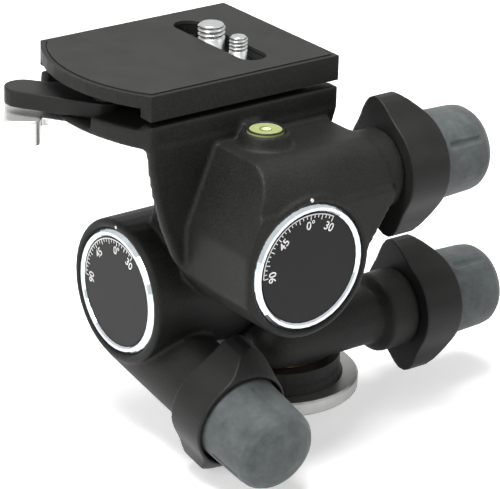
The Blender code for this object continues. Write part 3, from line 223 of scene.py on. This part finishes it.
# Base
# The disc is a turned aluminium plate, the bush and the spindles are turned steel.
# All are machined and left bare, with fine rings from the lathe.
def turned_metal(name, dark, light, rough, ring_size):
    made, shader, here = new_finish(name)
    rings = here.noise(ring_size, 2.0, 0.5, (1.0, 1.0, 12.0))
    wear = here.noise(6 * MM, 4.0, 0.6)
    set_shader(shader, here, (wear * 0.7 + rings * 0.3).blend(dark, light), rings * 0.12 + wear * 0.1 + rough,
               1.0, rings, 0.01 * MM)
    return made


BARE_DISC = turned_metal("turned_aluminium", (0.3, 0.3, 0.29), (0.46, 0.46, 0.45), 0.36, 1.2 * MM)
STEEL = turned_metal("turned_steel", (0.42, 0.43, 0.43), (0.6, 0.61, 0.61), 0.2, 0.8 * MM)
BRASS = turned_metal("turned_brass", (0.5, 0.36, 0.15), (0.7, 0.54, 0.26), 0.24, 0.8 * MM)
dress(nodes["base_disc"], BARE_DISC)
for name in ("base_thread_bush", "pan_spindle", "tilt_spindle", "roll_spindle", "tilt_dial_screw",
             "roll_dial_screw", "pan_worm", "tilt_worm", "roll_worm", "clamp_lever_screw"):
    dress(nodes[name], STEEL)
for name in ("pan_thrust_washer", "pan_worm_wheel", "tilt_worm_wheel", "roll_worm_wheel",
             "pan_release_sleeve", "tilt_release_sleeve", "roll_release_sleeve"):
    dress(nodes[name], BRASS)


# Release levers
# Each is a moulded black butterfly, keyed to the eccentric sleeve and turned by its two wings.
# The moulding is satin, with soft edges.
def moulding(name, dark, light, shine, grain):
    made, shader, here = new_finish(name)
    fine = here.noise(grain, 2.0, 0.6)
    patches = here.noise(9 * MM, 3.0)
    set_shader(shader, here, patches.blend(dark, light), patches * 0.12 + fine * 0.06 + shine,
               0.0, fine, 0.02 * MM)
    shader.inputs["Specular IOR Level"].default_value = DULL
    return made


LEVER_BLACK = moulding("moulded_black", (0.008, 0.008, 0.008), (0.016, 0.016, 0.015), 0.34, 0.35 * MM)
for drive in ("pan", "tilt", "roll"):
    rounded_copy(drive + "_release_lever", drive + "_lever_moulding", LEVER_BLACK,
                 SMALL_GRID, SMALL_ROUNDS)
    dress(nodes[drive + "_knob_core"], LEVER_BLACK)


# Knobs
# Each is a soft rubber cap pulled over a hard core, with three long moulded recesses.
# The rubber is grey with a dusty bloom and slight mottling.
def moulded_rubber(name, dark, light, rough):
    made, shader, here = new_finish(name)
    bloom = here.noise(5 * MM, 5.0, 0.65)
    fine = here.noise(0.45 * MM, 2.0, 0.6)
    set_shader(shader, here, bloom.between(0.3, 0.75).blend(dark, light), bloom * 0.1 + rough,
               0.0, fine, 0.02 * MM)
    shader.inputs["Specular IOR Level"].default_value = DULL
    shader.inputs["Sheen Weight"].default_value = 0.1
    shader.inputs["Sheen Roughness"].default_value = 0.5
    return made


KNOB_RUBBER = moulded_rubber("knob_rubber", (0.045, 0.052, 0.052), (0.085, 0.096, 0.096), 0.55)
for drive in ("pan", "tilt", "roll"):
    rounded_copy(drive + "_knob", drive + "_knob_rubber", KNOB_RUBBER,
                 SMALL_GRID, SMALL_ROUNDS)


# Dials
# Each is a black anodised disc in a bevelled chrome ring, printed with a white angle scale.
# A white dot on the rim of the housing round it marks the angle.
ANODISED = moulding("dial_anodised", (0.008, 0.008, 0.008), (0.012, 0.012, 0.012), 0.3, 0.3 * MM)
chrome_finish, chrome_shader, chrome_place = new_finish("ring_chrome")
scuffs = chrome_place.noise(3 * MM, 4.0, 0.6)
set_shader(chrome_shader, chrome_place, scuffs.blend((0.46, 0.52, 0.55), (0.66, 0.71, 0.73)),
           scuffs * 0.12 + 0.1, 1.0)
paint_finish, paint_shader, paint_place = new_finish("white_print")
thin = paint_place.noise(0.6 * MM, 3.0, 0.6)
set_shader(paint_shader, paint_place, thin.blend((0.62, 0.62, 0.61), (0.82, 0.82, 0.81)), thin * 0.2 + 0.4)

SCALE_RADIUS = 18.8 * MM
SCALE_LINE = 0.38 * MM
TICK_WIDTH = 0.32 * MM
LONG_TICK = 1.9 * MM
SHORT_TICK = 1.2 * MM
LABEL_RADIUS = 15.0 * MM
LABEL_SIZE = 4.1 * MM
LABEL_WEIGHT = 0.05 * MM
PRINT_HEIGHT = 0.04 * MM
LABELS = {-30: "30", 0: "0°", 45: "45", 90: "90"}
SCALE_START = -30
SCALE_END = 90
TICK_STEP = 5
LONG_TICK_STEP = 15
ARC_STEPS = 48
DOT_RADIUS = 0.6 * MM
DOT_DEPTH = 0.8 * MM
DOT_FROM_MIDDLE = 24.0 * MM


def flat_to_dial(node_name, right, out):
    """A matrix that lays flat artwork, drawn in X and Y, on a dial's face."""
    low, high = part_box(node_name)
    middle = (Vector(low) + Vector(high)) / 2
    out = Vector(out)
    reach = Vector(high) - Vector(low)
    face = middle + out * abs(reach.dot(out)) / 2
    right = Vector(right)
    up = out.cross(right)
    turned = Matrix((right, up, out)).transposed().to_4x4()
    return Matrix.Translation(face) @ turned


def stroke(length, radius):
    """One printed line above the middle, as long as the tick that it makes."""
    bpy.ops.object.select_all(action="DESELECT")
    bpy.ops.mesh.primitive_plane_add(size=1, location=(0, radius, 0))
    line = bpy.context.object
    line.scale = (TICK_WIDTH, length, 1)
    bpy.ops.object.transform_apply(location=True, rotation=True, scale=True)
    return line


def print_scale(name, body, laid):
    """Ticks every 5 degrees on an arc from 30 on the right to 90 on the left, with four numbers."""
    parts = []
    strokes = {length: stroke(length, SCALE_RADIUS - length / 2) for length in (LONG_TICK, SHORT_TICK)}
    for angle in range(SCALE_START, SCALE_END + 1, TICK_STEP):
        model = strokes[SHORT_TICK if angle % LONG_TICK_STEP else LONG_TICK]
        tick = bpy.data.objects.new("tick", model.data.copy())
        bpy.context.scene.collection.objects.link(tick)
        tick.data.transform(Matrix.Rotation(angle * DEGREE, 4, "Z"))
        parts.append(tick)
    for model in strokes.values():
        bpy.data.objects.remove(model)
    # The arc is the stroke's right end, spun clockwise from the scale's left end.
    scale = stroke(SCALE_LINE, SCALE_RADIUS)
    scale.name = name
    pick(scale)
    bpy.ops.object.mode_set(mode="EDIT")
    bpy.ops.mesh.select_mode(type="VERT")
    bpy.ops.mesh.select_all(action="DESELECT")
    bpy.ops.object.mode_set(mode="OBJECT")
    for corner in scale.data.vertices:
        corner.select = corner.co.x < 0
    bpy.ops.object.mode_set(mode="EDIT")
    bpy.ops.mesh.delete(type="VERT")
    bpy.ops.mesh.select_all(action="SELECT")
    sweep = (SCALE_END - SCALE_START) * DEGREE
    bpy.ops.mesh.spin(steps=ARC_STEPS, angle=sweep, center=(0, 0, 0), axis=(0, 0, 1))
    bpy.ops.object.mode_set(mode="OBJECT")
    scale.data.flip_normals()
    scale.data.transform(Matrix.Rotation(SCALE_END * DEGREE, 4, "Z"))
    parts.append(scale)
    for angle, words in LABELS.items():
        turn = angle * DEGREE
        place = (-LABEL_RADIUS * math.sin(turn), LABEL_RADIUS * math.cos(turn), 0)
        bpy.ops.object.text_add(location=place, rotation=(0, 0, turn))
        label = bpy.context.object
        label.data.body = words
        label.data.size = LABEL_SIZE
        label.data.align_x = "CENTER"
        label.data.align_y = "CENTER"
        label.data.offset = LABEL_WEIGHT
        bpy.ops.object.convert(target="MESH")
        parts.append(bpy.context.object)
    bpy.ops.object.select_all(action="DESELECT")
    for part in parts:
        part.select_set(True)
    bpy.context.view_layer.objects.active = scale
    bpy.ops.object.join()
    bpy.ops.object.transform_apply(location=True, rotation=True, scale=True)
    thick = scale.modifiers.new("print", "SOLIDIFY")
    thick.thickness = PRINT_HEIGHT
    thick.offset = 1.0
    apply_all(scale)
    scale.data.transform(laid)
    dress(scale, paint_finish)
    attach(scale, body)


TILT_FACE = flat_to_dial("tilt_dial", (0, -1, 0), (-1, 0, 0))
ROLL_FACE = flat_to_dial("roll_dial", (1, 0, 0), (0, -1, 0))
print_scale("tilt_scale", "pan", TILT_FACE)
print_scale("roll_scale", "tilt", ROLL_FACE)


def print_dot(name, body, laid):
    """The white dot on the housing's rim that points at the angle."""
    bpy.ops.object.select_all(action="DESELECT")
    bpy.ops.mesh.primitive_cylinder_add(vertices=24, radius=DOT_RADIUS, depth=DOT_DEPTH,
                                        location=(0, DOT_FROM_MIDDLE, 0))
    dot = bpy.context.object
    dot.name = name
    bpy.ops.object.transform_apply(location=True, rotation=True, scale=True)
    dot.data.transform(laid)
    dress(dot, paint_finish)
    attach(dot, body)


print_dot("tilt_index", "tilt", TILT_FACE)
print_dot("roll_index", "roll", ROLL_FACE)
for name in ("tilt_dial", "roll_dial"):
    dress(nodes[name], ANODISED)
for name in ("tilt_dial_ring", "roll_dial_ring"):
    dress(nodes[name], chrome_finish)


# Quick-release plate, clamp lever and catch
# The plate is a casting with a dark grainy pad let into it; the lever and catch are castings too,
# the lever painted black and the catch silver.
PAD = moulding("pad_rubber", (0.014, 0.014, 0.013), (0.03, 0.03, 0.029), 0.6, 0.5 * MM)
dress(nodes["quick_release_plate"], COAT)
dress(nodes["plate_pad"], PAD)
silver_finish, silver_shader, silver_place = new_finish("catch_silver")
cast = silver_place.noise(0.7 * MM, 3.0, 0.6)
set_shader(silver_shader, silver_place, cast.blend((0.56, 0.56, 0.55), (0.7, 0.7, 0.68)), cast * 0.15 + 0.3,
           0.8, cast, 0.02 * MM)
rounded_copy("clamp_lever", "clamp_lever_casting", LEVER_BLACK, SMALL_GRID, SMALL_ROUNDS)
rounded_copy("safety_catch", "safety_catch_casting", silver_finish, SMALL_GRID, SMALL_ROUNDS)

# The groove's sizes are shares of the thread's pitch.
THREAD_DEPTH = 0.55
THREAD_HALF_WIDTH = 0.42
THREAD_OVERCUT = 0.1
THREAD_END = 0.7
THREAD_REACH = 6.0 * MM
THREAD_STEPS = 40
SHANK_END = 1.5 * MM
PITCHES = {"camera_screw_large": 1.5875 * MM, "camera_screw_small": 1.27 * MM}


def threaded_copy(node_name, pitch):
    """A merged copy of a screw with a V groove run round its shank; it replaces the plain screw."""
    low, high = (Vector(corner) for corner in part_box(node_name))
    middle = (low + high) / 2
    screw = merged_copy(node_name, node_name + "_threaded")
    shank = max(math.hypot(point.co.x - middle.x, point.co.y - middle.y)
                for point in screw.data.vertices if point.co.z > high.z - SHANK_END)
    rim = shank + pitch * THREAD_OVERCUT
    half = pitch * THREAD_HALF_WIDTH
    corners = ((shank - pitch * THREAD_DEPTH, 0), (rim, half), (rim, -half))
    bpy.ops.object.select_all(action="DESELECT")
    bpy.ops.mesh.primitive_circle_add(vertices=3, fill_type="NOTHING")
    groove = bpy.context.object
    for point, (out, height) in zip(groove.data.vertices, corners):
        point.co = (out, 0, height)
    turns = math.ceil(THREAD_REACH / pitch)
    wind = groove.modifiers.new("wind", "SCREW")
    wind.axis = "Z"
    wind.angle = math.tau * turns
    wind.screw_offset = pitch * turns
    wind.steps = wind.render_steps = THREAD_STEPS * turns
    apply_all(groove)
    pick(groove)
    bpy.ops.object.mode_set(mode="EDIT")
    bpy.ops.mesh.select_all(action="SELECT")
    bpy.ops.mesh.fill_holes(sides=4)
    bpy.ops.mesh.normals_make_consistent(inside=False)
    bpy.ops.object.mode_set(mode="OBJECT")
    start = high.z - pitch * (turns - THREAD_END)
    groove.data.transform(Matrix.Translation((middle.x, middle.y, start)))
    cut = screw.modifiers.new("thread", "BOOLEAN")
    cut.operation = "DIFFERENCE"
    cut.solver = "EXACT"
    cut.object = groove
    apply_all(screw)
    bpy.data.objects.remove(groove)
    pick(screw)
    bpy.ops.object.shade_smooth_by_angle(angle=30 * DEGREE)
    dress(screw, STEEL)
    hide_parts(node_name)
    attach(screw, body_of(node_name))


for name, pitch in PITCHES.items():
    threaded_copy(name, pitch)


# Bubble level
# A round vial of pale yellow-green spirit, pressed with its black rim into the boss.
# A black circle is printed on the lens, and the bubble lies under it.
RIM_THICKNESS = 0.45 * MM
CIRCLE_RADIUS = 2.0 * MM
CIRCLE_THICKNESS = 0.12 * MM
BUBBLE_RADIUS = CIRCLE_RADIUS * 0.8
BUBBLE_SHIFT = 0.6 * MM
BUBBLE_FLATNESS = 0.12
glass_finish, glass_shader, glass_place = new_finish("level_spirit")
cloud = glass_place.noise(4 * MM, 2.0)
set_shader(glass_shader, glass_place, cloud.blend((0.25, 0.29, 0.11), (0.33, 0.37, 0.16)), cloud * 0.05 + 0.1)
dress(nodes["level_vial"], glass_finish)
vial_low, vial_high = (Vector(corner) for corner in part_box("level_vial"))
vial_middle = (vial_low + vial_high) / 2
vial_radius = (vial_high.x - vial_low.x) / 2


def level_ring(name, radius, thickness):
    bpy.ops.object.select_all(action="DESELECT")
    bpy.ops.mesh.primitive_torus_add(major_radius=radius, minor_radius=thickness, major_segments=72,
                                     minor_segments=16, location=(vial_middle.x, vial_middle.y, vial_high.z))
    ring = bpy.context.object
    ring.name = name
    bpy.ops.object.transform_apply(location=True, rotation=True, scale=True)
    bpy.ops.object.shade_smooth()
    dress(ring, LEVER_BLACK)
    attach(ring, "roll")


level_ring("level_rim", vial_radius - RIM_THICKNESS, RIM_THICKNESS)
level_ring("level_circle", CIRCLE_RADIUS, CIRCLE_THICKNESS)
bpy.ops.object.select_all(action="DESELECT")
bpy.ops.mesh.primitive_uv_sphere_add(segments=40, ring_count=20, radius=BUBBLE_RADIUS,
                                     location=(vial_middle.x + BUBBLE_SHIFT, vial_middle.y, vial_high.z))
bubble = bpy.context.object
bubble.name = "level_bubble"
bubble.scale = (1, 1, BUBBLE_FLATNESS)
bpy.ops.object.transform_apply(location=True, rotation=True, scale=True)
bpy.ops.object.shade_smooth()
bubble_finish, bubble_shader, bubble_place = new_finish("level_bubble")
shade = bubble_place.noise(2 * MM, 2.0)
set_shader(bubble_shader, bubble_place, shade.blend((0.5, 0.54, 0.3), (0.6, 0.64, 0.4)), shade * 0.05 + 0.08)
dress(bubble, bubble_finish)
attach(bubble, "roll")


# Studio
# A pale floor, a white surround and three soft lamps; the camera stands where the photographer stood.
FLOOR_SIZE = 6
FLOOR_Z = cad_low[2] - 1 * MM
FLOOR_GLOW = 0.45
ROOM_LIGHT = 0.35
bpy.ops.object.select_all(action="DESELECT")
bpy.ops.mesh.primitive_plane_add(size=FLOOR_SIZE, location=(0, 0, FLOOR_Z))
floor = bpy.context.object
floor.name = "floor"
floor_finish, floor_shader, floor_place = new_finish("pale_floor")
dust = floor_place.noise(0.4, 2.0)
seen = floor_place.node("LightPath")
mirrored = Field(seen.tree, seen.socket.node.outputs["Is Glossy Ray"])
set_shader(floor_shader, floor_place, dust.blend((0.8, 0.8, 0.8), (0.84, 0.84, 0.84)), 0.6)
floor_shader.inputs["Emission Color"].default_value = (1, 1, 1, 1)
floor_place.feed(floor_shader.inputs["Emission Strength"], (seen + mirrored) * FLOOR_GLOW)
dress(floor, floor_finish)

world = bpy.data.worlds.new("surround")
bpy.context.scene.world = world
world.use_nodes = True
ground = world.node_tree.nodes["Background"]
ray = world.node_tree.nodes.new("ShaderNodeLightPath")
kinds = ("Is Camera Ray", "Is Glossy Ray", "Is Transmission Ray")
camera_ray, glossy_ray, clear_ray = (Field(world.node_tree, ray.outputs[kind]) for kind in kinds)
white = camera_ray + glossy_ray + clear_ray
white.feed(ground.inputs["Strength"], white.between(0, 1) * (1 - ROOM_LIGHT) + ROOM_LIGHT)
ground.inputs["Color"].default_value = (1, 1, 1, 1)


LAMP_AIM = Vector((-0.01, 0.0, 0.06))


def soft_lamp(name, place, power, size):
    bpy.ops.object.light_add(type="AREA", location=place)
    lamp = bpy.context.object
    lamp.name = name
    lamp.data.energy = power
    lamp.data.size = size
    lamp.rotation_euler = (LAMP_AIM - Vector(place)).to_track_quat("-Z", "Y").to_euler()


soft_lamp("top_lamp", (-0.25, -0.1, 1.2), 24, 0.6)
soft_lamp("left_lamp", (-1.2, -0.3, 0.7), 7, 0.5)
soft_lamp("right_lamp", (0.7, -1.0, 0.6), 1.5, 0.5)

AZIMUTH = 37.03 * DEGREE
ELEVATION = 23.05 * DEGREE
ROLL = 1.62 * DEGREE
CAMERA_PLACE = Vector((-577.8, -749.1, 455.6)) * MM
FOCAL_PIXELS = 2913.7
PICTURE_WIDTH = 500
SENSOR_WIDTH = 36
flat = math.cos(ELEVATION)
look = Vector((math.sin(AZIMUTH) * flat, math.cos(AZIMUTH) * flat, -math.sin(ELEVATION)))
level = Vector((math.cos(AZIMUTH), -math.sin(AZIMUTH), 0))
rise = level.cross(look)
across = level * math.cos(ROLL) + rise * math.sin(ROLL)
above = rise * math.cos(ROLL) - level * math.sin(ROLL)
eye = Matrix((across, above, -look)).transposed().to_4x4()
eye.translation = CAMERA_PLACE
camera = bpy.data.objects.new("camera", bpy.data.cameras.new("camera"))
bpy.context.scene.collection.objects.link(camera)
camera.matrix_world = eye
camera.data.sensor_fit = "HORIZONTAL"
camera.data.sensor_width = SENSOR_WIDTH
camera.data.lens = FOCAL_PIXELS * SENSOR_WIDTH / PICTURE_WIDTH
camera.data.clip_start = 0.01
camera.data.clip_end = 20
bpy.context.scene.camera = camera
bpy.context.scene.view_settings.view_transform = "Standard"
